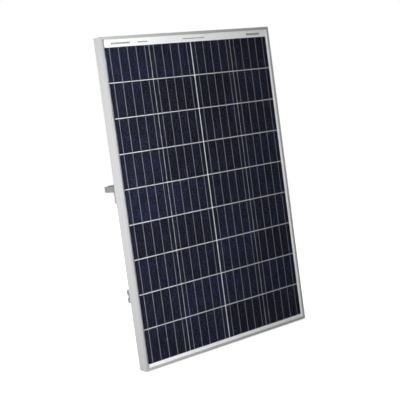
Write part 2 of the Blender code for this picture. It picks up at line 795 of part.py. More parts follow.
def bolt(name, seat, axis, reach, parent, finish):
    """A hexagon bolt: its head stands on the seat and its shank runs the other way along -axis."""
    axis = Vector(axis).normalized()
    start = Vector(seat) + axis * HEAD_HEIGHT
    chamfer = 0.9 * MM
    profile = [
        (0, HEAD_RADIUS * 0.86, 0),
        (chamfer, HEAD_RADIUS * 0.98, 6),
        (HEAD_HEIGHT, HEAD_RADIUS * 0.98, 6),
        (HEAD_HEIGHT, BOLT_RADIUS, 0),
        (HEAD_HEIGHT + reach, BOLT_RADIUS, 0),
    ]
    return turned(name, start, -axis, profile, parent, finish)


def nut(name, seat, axis, parent, finish):
    """A flanged nut that stands on the seat, bored for the shank."""
    bore = BOLT_RADIUS + 0.15 * MM
    axis = Vector(axis).normalized()
    rings = []
    for along, radius, corners in (
        (0, bore, 0),
        (0, HEAD_RADIUS + NUT_FLANGE, 0),
        (1.4 * MM, HEAD_RADIUS + NUT_FLANGE, 0),
        (2.0 * MM, HEAD_RADIUS * 0.95, 6),
        (NUT_HEIGHT, HEAD_RADIUS * 0.95, 6),
        (NUT_HEIGHT, bore, 0),
    ):
        rings.append(round_ring(Vector(seat) + axis * along, axis, radius, 18, corners))
    return closed_ring(name, rings, parent, finish)


def build_rails(panel, looks):
    steel = looks["galvanised"]
    bolts = looks["steel"]
    upper = upper_rail(panel, steel)
    outline = [(RAIL_BACK + out, LOWER_RAIL_HEIGHT + across) for across, out in channel_outline()]
    half = PANEL_WIDTH / 2 - LOWER_RAIL_INSET
    lower = section_along_x("lower_rail", outline, -half, half, panel, steel)
    close_channel(lower, half, panel)

    upper_bolt = UPPER_RAIL_TOP - UPPER_RAIL_LEG / 2
    inner_face = FRAME_DEPTH - FRAME_WALL - GAP
    for row, target, height, thickness in (
        ("upper", upper, upper_bolt, SHEET_STEEL),
        ("lower", lower, LOWER_RAIL_HEIGHT, CHANNEL_WALL),
    ):
        for side, across in (("left", -1), ("right", 1)):
            x = across * (PANEL_WIDTH / 2 - BOLT_INSET)
            hole = (x, RAIL_BACK + thickness / 2, height)
            cut_round(target, f"bolt_hole_{row}_{side}", hole, (0, 1, 0), BOLT_RADIUS + GAP, 8 * MM, panel)
            seat = (x, RAIL_BACK + thickness + GAP, height)
            bolt(f"rail_bolt_{row}_{side}", seat, (0, 1, 0), RAIL_BOLT_REACH, panel, bolts)
            nut(f"rail_nut_{row}_{side}", (x, inner_face, height), (0, -1, 0), panel, bolts)

    # Guide channel for the slider, on a packer at the upper rail and straight on the lower rail.
    outline = [(across, GUIDE_FRONT + out) for across, out in channel_outline()]
    guide = section_along_z("guide_channel", outline, GUIDE_BOTTOM, GUIDE_TOP, panel, steel)
    packer_front = RAIL_BACK + SHEET_STEEL + GAP
    packer = box(
        "guide_packer",
        (-CHANNEL_WIDTH / 2, packer_front, upper_bolt - PACKER_HEIGHT / 2),
        (CHANNEL_WIDTH / 2, GUIDE_FRONT - GAP, upper_bolt + PACKER_HEIGHT / 2),
        panel,
        looks["rubber"],
    )
    for target, name, depth in (
        (packer, "packer_hole", packer_front + 8 * MM),
        (guide, "guide_hole_upper", GUIDE_FRONT + 1 * MM),
        (upper, "rail_hole_centre", RAIL_BACK + 1 * MM),
    ):
        length = 40 * MM if target is packer else 8 * MM
        cut_round(target, name, (0, depth, upper_bolt), (0, 1, 0), BOLT_RADIUS + GAP, length, panel)
    seat = (0, GUIDE_FRONT + CHANNEL_WALL + GAP, upper_bolt)
    bolt("guide_bolt_upper", seat, (0, 1, 0), GUIDE_BOLT_REACH, panel, bolts)
    hole = (0, GUIDE_FRONT + 1 * MM, LOWER_RAIL_HEIGHT)
    cut_round(guide, "guide_hole_lower", hole, (0, 1, 0), BOLT_RADIUS + GAP, 8 * MM, panel)
    channel_bolt(panel, bolts)


def channel_bolt(panel, finish):
    """The bolt that grips the lower rail's lips: a round plate inside it, a nut in the guide."""
    back = RAIL_BACK + CHANNEL_DEPTH
    plate = back - CHANNEL_LIP - GAP
    nut_seat = GUIDE_FRONT + CHANNEL_WALL + GAP
    start = plate - GRIP_PLATE_THICKNESS
    profile = [
        (0, GRIP_PLATE_RADIUS, 0),
        (GRIP_PLATE_THICKNESS, GRIP_PLATE_RADIUS, 0),
        (GRIP_PLATE_THICKNESS, BOLT_RADIUS, 0),
        (nut_seat - start, BOLT_RADIUS, 0),
        (nut_seat - start, HEAD_RADIUS * 0.95, 6),
        (nut_seat - start + 6 * MM, HEAD_RADIUS * 0.95, 6),
        (nut_seat - start + 6 * MM, BOLT_RADIUS, 0),
        (nut_seat - start + 8 * MM, BOLT_RADIUS, 0),
    ]
    turned("guide_bolt_lower", (0, start, LOWER_RAIL_HEIGHT), (0, 1, 0), profile, panel, finish)


# ---------------------------------------------------------------------------------------- folding leg


def leg_bracket(name, x, panel, finish):
    """A folded clevis under the shelf. Its two cheeks hold the leg's pivot pin."""
    inner = LEG_SIDE / 2 + GAP
    outer = inner + BRACKET_CHEEK
    top = UPPER_RAIL_TOP - SHEET_STEEL - GAP
    low = PIVOT_HEIGHT - BRACKET_DROP
    outline = [
        (x - outer, low),
        (x - outer, top),
        (x + outer, top),
        (x + outer, low),
        (x + inner, low),
        (x + inner, top - BRACKET_CHEEK),
        (x - inner, top - BRACKET_CHEEK),
        (x - inner, low),
    ]
    depths = (PIVOT_DEPTH - BRACKET_DEPTH / 2, PIVOT_DEPTH + BRACKET_DEPTH / 2)
    rings = [[(a, depth, height) for a, height in outline] for depth in depths]
    bracket = loft(name, rings, panel, finish)
    hole = (x, PIVOT_DEPTH, PIVOT_HEIGHT)
    return cut_round(bracket, name + "_hole", hole, (1, 0, 0), PIN_RADIUS + BORE_GAP, 50 * MM, panel)


def pivot_pin(name, x, half, radius, head, parent, finish):
    """A headed pin along X, peened over at its far end."""
    length = 2 * half
    domed = head * 0.8
    profile = [
        (-PIN_HEAD - PIN_DOME, domed, 0),
        (-PIN_HEAD, head, 0),
        (0, head, 0),
        (0, radius, 0),
        (length, radius, 0),
        (length, head, 0),
        (length + PIN_HEAD, head, 0),
        (length + PIN_HEAD + PIN_DOME, domed, 0),
    ]
    return turned(name, (x - half, 0, 0), (1, 0, 0), profile, parent, finish)


def leg_tube(name, x, length, parent, finish):
    """A square tube, open at both ends and drilled for its pivot pin."""
    half = LEG_SIDE / 2
    inner = half - LEG_WALL
    rings = []
    for reach, height in ((half, LEG_HEAD), (half, -length), (inner, -length), (inner, LEG_HEAD)):
        corners = ((-1, -1), (1, -1), (1, 1), (-1, 1))
        rings.append([(x + across * reach, back * reach, height) for across, back in corners])
    tube = closed_ring(name, rings, parent, finish)
    cut_round(tube, name + "_pin_hole", (x, 0, 0), (1, 0, 0), PIN_RADIUS + BORE_GAP, 40 * MM, parent)
    return tube


def foot(name, x, length, parent, finish):
    """A rubber shoe over the tube's end. Its sole is cut level with the floor."""
    inner = LEG_SIDE / 2 + GAP
    outer = inner + FOOT_WALL
    cup = -length - GAP
    rim = cup + FOOT_HEIGHT - FOOT_TAPER_DROP
    rings = []
    for reach, height, slant in (
        (outer, rim, 0.0),
        (outer, -floor_distance(), -tan(LEG_SPLAY)),
        (inner, cup, 0.0),
        (inner, rim, 0.0),
    ):
        ring = []
        for dx, dy in ((-1, -1), (1, -1), (1, 1), (-1, 1)):
            ring.append((x + dx * reach, dy * reach, height + slant * dy * reach))
        rings.append(ring)
    work = bmesh.new()
    loops = [[work.verts.new(point) for point in ring] for ring in rings]
    for near, far in ((0, 1), (2, 3), (3, 0)):
        for i in range(4):
            j = (i + 1) % 4
            work.faces.new((loops[near][i], loops[near][j], loops[far][j], loops[far][i]))
    work.faces.new(loops[1])
    work.faces.new(loops[2])
    return add_object(name, work, parent, finish)


def floor_distance():
    """From the leg's pivot down the leg's own line to the floor."""
    height = PIVOT_HEIGHT * cos(LEAN) - PIVOT_DEPTH * sin(LEAN) + FLOOR_LIFT
    return height / cos(LEG_SPLAY)


def build_leg(panel, looks):
    steel = looks["painted"]
    leg = empty("leg_axis", panel, (0, PIVOT_DEPTH, PIVOT_HEIGHT), FOLD)
    length = floor_distance() - LEG_FLOOR_CLEARANCE
    axle_half = LEG_SPACING - LEG_SIDE / 2 - GAP
    for side, across in (("left", -1), ("right", 1)):
        x = across * LEG_SPACING
        leg_bracket("leg_bracket_" + side, x, panel, looks["galvanised"])
        leg_tube("leg_" + side, x, length, leg, steel)
        foot("foot_" + side, x, length, leg, looks["rubber"])
        pin_half = LEG_SIDE / 2 + LEG_PIN_STANDOUT
        pivot_pin(
            "leg_pivot_pin_" + side, x, pin_half, PIN_RADIUS, LEG_PIN_HEAD_RADIUS, leg, looks["steel"]
        )
    turned(
        "stay_axle",
        (-axle_half, 0, -STAY_RADIUS),
        (1, 0, 0),
        [(0, AXLE_RADIUS, 0), (2 * axle_half, AXLE_RADIUS, 0)],
        leg,
        steel,
    )
    bar = CROSSBAR_SIDE / 2
    box(
        "leg_crossbar",
        (-axle_half, -bar, -CROSSBAR_DOWN - bar),
        (axle_half, bar, -CROSSBAR_DOWN + bar),
        leg,
        steel,
    )
    return leg


def stay_bar(stay, finish):
    """A flat bar with a sleeve round the axle at its top and an eye for the slider's pin."""
    half = STAY_THICKNESS / 2
    radius = STAY_WIDTH / 2
    outline = []
    for end, first in ((0.0, 0.0), (-STAY_RADIUS, pi)):
        for step in range(13):
            angle = first + pi * step / 12
            outline.append((radius * cos(angle), end + radius * sin(angle)))
    rings = [[(x, depth, height) for depth, height in outline] for x in (-half, half)]
    bar = loft("stay_bar", rings, stay, finish, smooth=True)
    profile = [(0, radius, 0), (STAY_SLEEVE, radius, 0)]
    sleeve = turned("stay_sleeve", (-STAY_SLEEVE / 2, 0, 0), (1, 0, 0), profile, stay, finish)
    boolean(bar, sleeve, "UNION")
    cut_round(bar, "stay_axle_bore", (0, 0, 0), (1, 0, 0), AXLE_RADIUS + BORE_GAP, 60 * MM, stay)
    eye = (0, 0, -STAY_RADIUS)
    cut_round(bar, "stay_eye_bore", eye, (1, 0, 0), PIN_RADIUS + BORE_GAP, 60 * MM, stay)
    return bar


def build_slider(slider, looks):
    """The block that runs in the guide channel, with a fork for the stay and a clamping knob."""
    steel = looks["steel"]
    guide = GUIDE_FRONT - PIVOT_DEPTH
    half = CHANNEL_WIDTH / 2 - CHANNEL_WALL - SLIDER_RUNNING
    neck = CHANNEL_SLOT / 2 - SLIDER_RUNNING
    floor = guide + CHANNEL_WALL + SLIDER_RUNNING + SLIDER_BOLT_ROOM
    under_lip = guide + CHANNEL_DEPTH - CHANNEL_LIP - SLIDER_RUNNING
    back = guide + CHANNEL_DEPTH + SLIDER_PROUD
    cheek = STAY_THICKNESS / 2 + GAP
    fork_back = PIN_RADIUS + FORK_WALL
    outline = [
        (-half, floor),
        (half, floor),
        (half, under_lip),
        (neck, under_lip),
        (neck, back),
        (-neck, back),
        (-neck, under_lip),
        (-half, under_lip),
    ]
    block = section_along_z("slider", outline, -SLIDER_BOTTOM, SLIDER_TOP, slider, looks["nylon"])
    fork = box(
        "slider_fork",
        (-neck, back - 1 * MM, -FORK_HEIGHT / 2),
        (neck, fork_back, FORK_HEIGHT / 2),
        slider,
        None,
    )
    boolean(block, fork, "UNION")
    slit = box(
        "slider_slit",
        (-cheek, floor + 1.5 * MM, -SLIT_DEPTH),
        (cheek, fork_back + 5 * MM, SLIDER_TOP + 5 * MM),
        slider,
        None,
    )
    boolean(block, slit, "DIFFERENCE")
    cut_round(block, "slider_pin_bore", (0, 0, 0), (1, 0, 0), PIN_RADIUS + BORE_GAP, 60 * MM, slider)
    pivot_pin("slider_pin", 0, neck + GAP, PIN_RADIUS, SLIDER_PIN_HEAD_RADIUS, slider, steel)

    knob_axis = empty("knob_axis", slider, (0, 0, -KNOB_DROP))
    cut_round(block, "knob_bore", (0, 0, -KNOB_DROP), (0, 1, 0), PIN_RADIUS + BORE_GAP, 80 * MM, slider)
    knob(knob_axis, back + 1 * MM, floor + 0.5 * MM, looks["plastic"])


def knob(parent, seat, tip, finish):
    """A five-lobed hand knob on its stud. seat is the depth of its face and tip the stud's end."""
    count = 6 * KNOB_LOBES
    rings = []
    stud = PIN_RADIUS
    for depth, radius, wave in (
        (tip, stud, 0.0),
        (seat, stud, 0.0),
        (seat, 9 * MM, 0.0),
        (seat + 5 * MM, 9 * MM, 0.0),
        (seat + 6 * MM, 15 * MM, 2.2 * MM),
        (seat + 16 * MM, 15.5 * MM, 2.4 * MM),
        (seat + 19 * MM, 12 * MM, 1.6 * MM),
    ):
        ring = []
        for step in range(count):
            angle = 2 * pi * step / count
            reach = radius + wave * cos(KNOB_LOBES * angle)
            ring.append((reach * cos(angle), depth, reach * sin(angle)))
        rings.append(ring)
    return loft("lock_knob", rings, parent, finish, smooth=True)


def make_looks():
    return {
        "aluminium": material("anodised aluminium", 0.62, 0.62, 0.61, 0.36, 0.9),
        "key": material("die-cast zinc", 0.4, 0.4, 0.41, 0.5, 0.9),
        "glass": material("tempered glass", 0.8, 0.9, 0.95, 0.05),
        "cell": material("polycrystalline silicon", 0.016, 0.02, 0.055, 0.35),
        "ribbon": material("tinned copper ribbon", 0.55, 0.55, 0.58, 0.4, 0.8),
        "backsheet": material("white backsheet", 0.82, 0.82, 0.84, 0.5),
        "seal": material("foam seal", 0.03, 0.03, 0.03, 0.9),
        "rubber": material("black rubber", 0.02, 0.02, 0.02, 0.8),
        "plastic": material("black plastic", 0.025, 0.025, 0.027, 0.5),
        "carrier": material("grey plastic", 0.2, 0.2, 0.21, 0.5),
        "nylon": material("grey nylon", 0.12, 0.12, 0.13, 0.55),
        "tin": material("tinned copper", 0.6, 0.58, 0.55, 0.35, 0.9),
        "diode": material("moulded diode", 0.02, 0.02, 0.02, 0.4),
        "steel": material("zinc-plated steel", 0.5, 0.5, 0.5, 0.35, 0.9),
        "galvanised": material("galvanised steel", 0.42, 0.43, 0.44, 0.45, 0.9),
        "painted": material("grey powder coat", 0.3, 0.3, 0.31, 0.5),
    }


def main():
    clear_scene()
    looks = make_looks()
    # The whole stand runs from the frame's front edge back to the rear of the feet.
    pivot_y = PIVOT_HEIGHT * sin(LEAN) + PIVOT_DEPTH * cos(LEAN)
    sole_y = pivot_y + floor_distance() * sin(LEG_SPLAY)
    heel_y = sole_y + (LEG_SIDE / 2 + GAP + FOOT_WALL) / cos(LEG_SPLAY)
    panel = empty("panel_axes", None, (0, -heel_y / 2, FLOOR_LIFT), -LEAN)
    build_frame(panel, looks["aluminium"], looks["key"])
    build_laminate(panel, looks)
    build_junction_box(panel, looks)
    build_rails(panel, looks)
    build_leg(panel, looks)
    # The stay's axle is on the leg, and its other end is back in the line of the leg's pivot.
    axle_drop = STAY_RADIUS * cos(FOLD)
    stay_place = (0, PIVOT_DEPTH + STAY_RADIUS * sin(FOLD), PIVOT_HEIGHT - axle_drop)
    stay = empty("stay_axis", panel, stay_place, -FOLD)
    stay_bar(stay, looks["painted"])
    slider_place = (0, PIVOT_DEPTH, PIVOT_HEIGHT - 2 * axle_drop)
    build_slider(empty("slider_axis", panel, slider_place), looks)


main()
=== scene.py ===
import json
from math import atan2, cos, pi, radians, sin

import bmesh
import bpy
from mathutils import Matrix, Vector


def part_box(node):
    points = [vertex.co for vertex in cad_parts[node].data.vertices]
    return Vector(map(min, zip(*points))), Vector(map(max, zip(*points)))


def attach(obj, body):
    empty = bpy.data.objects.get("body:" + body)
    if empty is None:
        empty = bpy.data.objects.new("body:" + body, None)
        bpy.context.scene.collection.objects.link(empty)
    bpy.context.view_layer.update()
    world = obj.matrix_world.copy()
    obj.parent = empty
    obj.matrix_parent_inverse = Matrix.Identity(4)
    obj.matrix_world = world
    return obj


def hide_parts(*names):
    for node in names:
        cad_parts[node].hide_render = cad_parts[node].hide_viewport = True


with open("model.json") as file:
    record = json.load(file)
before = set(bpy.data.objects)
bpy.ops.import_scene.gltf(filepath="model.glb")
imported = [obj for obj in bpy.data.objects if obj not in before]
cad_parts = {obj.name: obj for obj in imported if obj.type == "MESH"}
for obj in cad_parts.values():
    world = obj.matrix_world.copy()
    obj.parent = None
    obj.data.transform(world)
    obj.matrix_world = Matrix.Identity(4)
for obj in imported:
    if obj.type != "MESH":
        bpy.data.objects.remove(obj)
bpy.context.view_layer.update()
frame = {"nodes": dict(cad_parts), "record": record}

MM = 0.001

# ---------------------------------------------------------------------------------------------
# The panel's own axes: across it (X), back into its depth (Y) and up along it (Z), from the
# bottom front edge. The knob's axis is square to the panel and gives the lean, and the side
# rail's corners give the edge it stands on.
joints = {joint["name"]: joint for joint in frame["record"]["behaviour"]["joints"]}
depth_axis = Vector(joints["knob_turn"]["axis"])
lean = atan2(-depth_axis.z, depth_axis.y)
rail_low, rail_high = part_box("frame_left")
rise = rail_high[2] - rail_low[2]
reach = rail_high[1] - rail_low[1]
spread = cos(lean) ** 2 - sin(lean) ** 2
frame_depth = (reach * cos(lean) - rise * sin(lean)) / spread
standing_edge = Vector((0, rail_low[1], rail_low[2] + frame_depth * sin(lean)))
panel_axes = Matrix.Translation(standing_edge) @ Matrix.Rotation(-lean, 4, "X")


def on_panel(node):
    """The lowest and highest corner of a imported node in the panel's own axes."""
    to_panel = panel_axes.inverted()
    points = [to_panel @ vertex.co for vertex in frame["nodes"][node].data.vertices]
    low = Vector([min(point[i] for point in points) for i in range(3)])
    high = Vector([max(point[i] for point in points) for i in range(3)])
    return low, high


# ---------------------------------------------------------------------------------------------
# Frame: four lengths of extruded 6063 aluminium, cut at 45 degrees and clear anodised. The die
# leaves fine lengthwise lines, and the saw leaves a sharp mitre whose edges are broken by hand.
# The bottom rail stands on the ground, so it carries scuffs.
def linear_colour(code):
    """An sRGB hex colour as the linear colour that a shader takes."""
    parts = [int(code[i:i + 2], 16) / 255 for i in (1, 3, 5)]
    return tuple(c / 12.92 if c <= 0.04045 else ((c + 0.055) / 1.055) ** 2.4 for c in parts) + (1,)


def add_node(tree, kind, inputs=None, **settings):
    """One node with its settings, and its inputs given as values or as sockets to link from."""
    node = tree.nodes.new(kind)
    for name, value in settings.items():
        setattr(node, name, value)
    for key, value in (inputs or {}).items():
        if isinstance(value, bpy.types.NodeSocket):
            tree.links.new(value, node.inputs[key])
        else:
            node.inputs[key].default_value = value
    return node


def bare_material(name):
    """A material with an empty node tree."""
    made = bpy.data.materials.new(name)
    made.use_nodes = True
    made.node_tree.nodes.clear()
    return made, made.node_tree


def object_point(tree):
    """The shaded point in metres, as it moves with its piece."""
    return add_node(tree, "ShaderNodeTexCoord").outputs["Object"]


def panel_point(tree):
    """The shaded point in the panel's own axes, in metres."""
    return add_node(tree, "ShaderNodeMapping", {
        "Vector": object_point(tree),
        "Location": tuple(panel_axes.translation),
        "Rotation": tuple(panel_axes.to_euler()),
    }, vector_type="TEXTURE").outputs["Vector"]


def stretched(tree, point, *spacings):
    """A point scaled so that one step of a pattern is so many millimetres along each axis. One
    spacing counts for all three."""
    if len(spacings) == 1:
        spacings = spacings * 3
    return add_node(tree, "ShaderNodeMapping", {
        "Vector": point,
        "Scale": [1000 / spacing for spacing in spacings],
    }).outputs["Vector"]


def noise(tree, point, *spacings, detail, roughness=0.5, output="Fac"):
    """Cloudy lumps that are so many millimetres across along each axis."""
    return add_node(tree, "ShaderNodeTexNoise", {
        "Vector": stretched(tree, point, *spacings), "Scale": 1, "Detail": detail,
        "Roughness": roughness,
    }).outputs[output]


def maths(tree, operation, first, second=0.0):
    """The result of one sum on one or two numbers."""
    return add_node(tree, "ShaderNodeMath", {0: first, 1: second}, operation=operation).outputs[0]


def between(tree, factor, low, high, start=0.0, end=1.0):
    """A factor that goes from start to end turned into a number that goes from low to high."""
    return add_node(tree, "ShaderNodeMapRange", {
        "Value": factor, "From Min": start, "From Max": end, "To Min": low, "To Max": high,
    }).outputs["Result"]


def shades(tree, factor, *stops):
    """A colour ramp over a factor, from (place, hex colour) pairs."""
    node = add_node(tree, "ShaderNodeValToRGB", {"Fac": factor})
    ramp = node.color_ramp
    while len(ramp.elements) < len(stops):
        ramp.elements.new(0.5)
    for element, (place, code) in zip(ramp.elements, stops):
        element.position = place
        element.color = linear_colour(code)
    return node.outputs["Color"]


def toward(tree, factor, colour, code):
    """A colour that turns into a hex colour as a factor goes from 0 to 1."""
    return add_node(tree, "ShaderNodeMix", {
        0: factor, 6: colour, 7: linear_colour(code),
    }, data_type="RGBA").outputs[2]


def bumped(tree, height, strength, depth, **under):
    """A normal tilted by the slopes of a height, over another Normal if one is given."""
    return add_node(tree, "ShaderNodeBump", {
        "Height": height, "Strength": strength, "Distance": depth, **under,
    }).outputs["Normal"]


def finish(tree, shader):
    """The material's surface is this shader."""
    add_node(tree, "ShaderNodeOutputMaterial", {"Surface": shader.outputs[0]})


def anodised_extrusion(name, along):
    """Clear anodised aluminium with die lines along one axis of the panel. A real line is
    0.1 mm wide, and is drawn 0.9 mm wide so that it shows."""
    scuff_height = 9 * MM
    line_spacings = [0.9, 0.9, 0.9]
    line_spacings[along] = 400
    made, tree = bare_material(name)
    point = panel_point(tree)
    lines = noise(tree, point, *line_spacings, detail=3)
    smudges = noise(tree, point, 70, detail=4)
    scratches = between(tree, noise(tree, point, 9, 3, 3, detail=6, roughness=0.7),
                        0, 1, 0.5, 0.62)
    height = add_node(tree, "ShaderNodeSeparateXYZ", {"Vector": point}).outputs["Z"]
    scuffs = maths(tree, "MULTIPLY", between(tree, height, 1, 0, 0, scuff_height), scratches)
    clean = shades(tree, lines, (0.3, "#AEAFB0"), (0.5, "#BABBBC"), (0.7, "#C6C6C6"))
    toned = toward(tree, between(tree, smudges, 0, 0.3), clean, "#B2B1AE")
    roughness = maths(tree, "ADD", between(tree, lines, 0.44, 0.56),
                      between(tree, smudges, -0.04, 0.06))
    finish(tree, add_node(tree, "ShaderNodeBsdfPrincipled", {
        "Base Color": toward(tree, scuffs, toned, "#8A8883"), "Metallic": 0.25,
        "Roughness": roughness, "Normal": bumped(tree, lines, 0.16, 0.05 * MM),
    }))
    return made


WELD = 0.001 * MM
FLAT_ANGLE = radians(0.5)
SHARP_ANGLE = radians(35)
CREASE_ANGLE = radians(50)


def eased(node, name, width, coat, body, least=0.0):
    """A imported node's shape with its sharp edges broken, as a new piece that stands for it.
    Only edges longer than least are broken."""
    work = bmesh.new()
    work.from_mesh(frame["nodes"][node].data)
    bmesh.ops.remove_doubles(work, verts=work.verts, dist=WELD)
    bmesh.ops.dissolve_limit(
        work, angle_limit=FLAT_ANGLE, verts=work.verts, edges=work.edges,
        use_dissolve_boundaries=False)
    sharp = [
        edge for edge in work.edges
        if len(edge.link_faces) == 2 and edge.calc_face_angle() > SHARP_ANGLE
        and edge.calc_length() > least
    ]
    bmesh.ops.bevel(
        work, geom=sharp, offset=width, offset_type="OFFSET", segments=2, profile=0.5,
        affect="EDGES", clamp_overlap=True)
    bmesh.ops.remove_doubles(work, verts=work.verts, dist=WELD)
    rough = bpy.data.meshes.new(name + "_rough")
    work.to_mesh(rough)
    work.free()
    rough.materials.append(coat)
    rough.shade_smooth()
    rough.set_sharp_from_angle(angle=CREASE_ANGLE)
    made = bpy.data.objects.new(name, rough)
    bpy.context.scene.collection.objects.link(made)
    # Weighted normals keep the wide faces flat, so that only the broken edge turns the light.
    made.modifiers.new("flat_faces", "WEIGHTED_NORMAL").keep_sharp = True
    bpy.context.view_layer.update()
    graph = bpy.context.evaluated_depsgraph_get()
    mesh = bpy.data.meshes.new_from_object(made.evaluated_get(graph), depsgraph=graph)
    made.modifiers.clear()
    made.data = mesh
    mesh.name = name
    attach(made, body)
    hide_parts(node)


upright_extrusion = anodised_extrusion("anodised_aluminium_upright", 2)
level_extrusion = anodised_extrusion("anodised_aluminium_level", 0)
SAWN_EDGE = 0.4 * MM
for side, metal in (
    ("left", upright_extrusion), ("right", upright_extrusion),
    ("top", level_extrusion), ("bottom", level_extrusion),
):
    eased("frame_" + side, side + "_frame_rail", SAWN_EDGE, metal, "panel")


# ---------------------------------------------------------------------------------------------
# Corner keys: die-cast aluminium angles pressed into the rails' chambers at each mitre. They
# are hidden in the finished frame, and are left as cast, with a sandy skin.
def coat_node(coat, *nodes):
    """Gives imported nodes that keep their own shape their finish."""
    for node in nodes:
        mesh = frame["nodes"][node].data
        mesh.materials.clear()
        mesh.materials.append(coat)


def sandy_skin(name, light, dark, grain_mm, metallic):
    """A cast or moulded skin: small pits over a slightly uneven tone."""
    made, tree = bare_material(name)
    pits = noise(tree, object_point(tree), grain_mm, detail=5)
    finish(tree, add_node(tree, "ShaderNodeBsdfPrincipled", {
        "Base Color": shades(tree, pits, (0.35, dark), (0.7, light)), "Metallic": metallic,
        "Roughness": between(tree, pits, 0.5, 0.7),
        "Normal": bumped(tree, pits, 0.4, 0.15 * MM),
    }))
    return made


cast_aluminium = sandy_skin("die_cast_aluminium", "#A4A4A6", "#7C7C80", 0.8, 1.0)
for corner in ("top_left", "top_right", "bottom_left", "bottom_right"):
    coat_node(cast_aluminium, "corner_key_" + corner)


# ---------------------------------------------------------------------------------------------
# Front glass: 3.2 mm toughened low-iron glass, rolled with a very fine texture that dulls its
# mirror a little. Daylight passes it, so it casts no shadow on the cells.
def rolled_glass():
    """Clear glass that lets lamps and bounced light straight through."""
    made, tree = bare_material("low_iron_rolled_glass")
    point = panel_point(tree)
    texture = noise(tree, point, 1.6, detail=2)
    haze = noise(tree, point, 160, detail=4)
    glass = add_node(tree, "ShaderNodeBsdfPrincipled", {
        "Base Color": linear_colour("#FDFEFE"), "Roughness": between(tree, haze, 0.05, 0.13),
        "Transmission Weight": 1.0, "IOR": 1.5, "Normal": bumped(tree, texture, 0.02, 0.05 * MM),
    })
    clear = add_node(tree, "ShaderNodeBsdfTransparent", {"Color": linear_colour("#FAFBFB")})
    path = add_node(tree, "ShaderNodeLightPath").outputs
    passes = maths(tree, "MAXIMUM", path["Is Shadow Ray"], path["Is Diffuse Ray"])
    finish(tree, add_node(tree, "ShaderNodeMixShader", {
        0: passes, 1: glass.outputs[0], 2: clear.outputs[0],
    }))
    return made


coat_node(rolled_glass(), "front_glass")

# ---------------------------------------------------------------------------------------------
# Cells: 36 polycrystalline silicon cells, each cut from a full wafer about 157 mm wide, in four
# strings of nine. The blue nitride coat is dark, and the wafer's crystals catch the light
# differently, so patches of it look paler or darker. Each wafer came from its own block.
COLUMNS = 4
ROWS = 9
ROW_GAP = 2 * MM
CELL_FRONT = 5.5 * MM
CELL_THICKNESS = 0.2 * MM
CELL_CORNER = 1.2 * MM
FINGER_PITCH = 1.8 * MM
strings = [on_panel(f"cell_string_{number}") for number in range(1, COLUMNS + 1)]
cell_low, cell_high = strings[0]
cell_width = cell_high.x - cell_low.x
column_pitch = -(cell_high.x + strings[1][0].x) / 2
row_pitch = (cell_high.z - cell_low.z + ROW_GAP) / ROWS


def plates_tree():
    """Geometry Nodes: thin plates with rounded corners in columns and rows, standing in the
    plane of X and Z, with their backs at Y = 0 and their thickness towards the front."""
    tree = bpy.data.node_groups.new("plates_in_rows", "GeometryNodeTree")
    face = tree.interface
    face.new_socket("Geometry", in_out="OUTPUT", socket_type="NodeSocketGeometry")
    for count in ("Columns", "Rows"):
        face.new_socket(count, in_out="INPUT", socket_type="NodeSocketInt")
    for size in ("Column Pitch", "Row Pitch", "Width", "Height", "Thickness", "Corner Radius"):
        face.new_socket(size, in_out="INPUT", socket_type="NodeSocketFloat")
    face.new_socket("Finish", in_out="INPUT", socket_type="NodeSocketMaterial")
    given = add_node(tree, "NodeGroupInput").outputs
    outline = add_node(tree, "GeometryNodeCurvePrimitiveQuadrilateral", {
        "Width": given["Width"], "Height": given["Height"],
    })
    rounded = add_node(tree, "GeometryNodeFilletCurve", {
        "Curve": outline.outputs["Curve"], "Radius": given["Corner Radius"], "Count": 3,
        "Limit Radius": True,
    }, mode="POLY")
    plate = add_node(tree, "GeometryNodeFillCurve", {"Curve": rounded.outputs["Curve"]},
                     mode="NGONS")
    thick = add_node(tree, "GeometryNodeExtrudeMesh", {
        "Mesh": plate.outputs["Mesh"], "Offset Scale": given["Thickness"], "Individual": False,
    })
    back = add_node(tree, "GeometryNodeFlipFaces", {"Mesh": plate.outputs["Mesh"]})
    shell = add_node(tree, "GeometryNodeJoinGeometry")
    tree.links.new(back.outputs[0], shell.inputs[0])
    tree.links.new(thick.outputs["Mesh"], shell.inputs[0])
    closed = add_node(tree, "GeometryNodeMergeByDistance", {
        "Geometry": shell.outputs[0], "Distance": WELD,
    })
    upright = add_node(tree, "GeometryNodeTransform", {
        "Geometry": closed.outputs[0], "Rotation": (pi / 2, 0, 0),
    })
    along = add_node(tree, "ShaderNodeCombineXYZ", {"X": given["Column Pitch"]})
    up = add_node(tree, "ShaderNodeCombineXYZ", {"Z": given["Row Pitch"]})
    row = add_node(tree, "GeometryNodeMeshLine", {
        "Count": given["Columns"], "Offset": along.outputs[0],
    })
    rows = add_node(tree, "GeometryNodeMeshLine", {
        "Count": given["Rows"], "Offset": up.outputs[0],
    })
    one_row = add_node(tree, "GeometryNodeInstanceOnPoints", {
        "Points": row.outputs[0], "Instance": upright.outputs[0],
    })
    all_rows = add_node(tree, "GeometryNodeInstanceOnPoints", {
        "Points": rows.outputs[0], "Instance": one_row.outputs[0],
    })
    real = add_node(tree, "GeometryNodeRealizeInstances", {"Geometry": all_rows.outputs[0]})
    coated = add_node(tree, "GeometryNodeSetMaterial", {
        "Geometry": real.outputs[0], "Material": given["Finish"],
    })
    add_node(tree, "NodeGroupOutput", {"Geometry": coated.outputs[0]})
    return tree


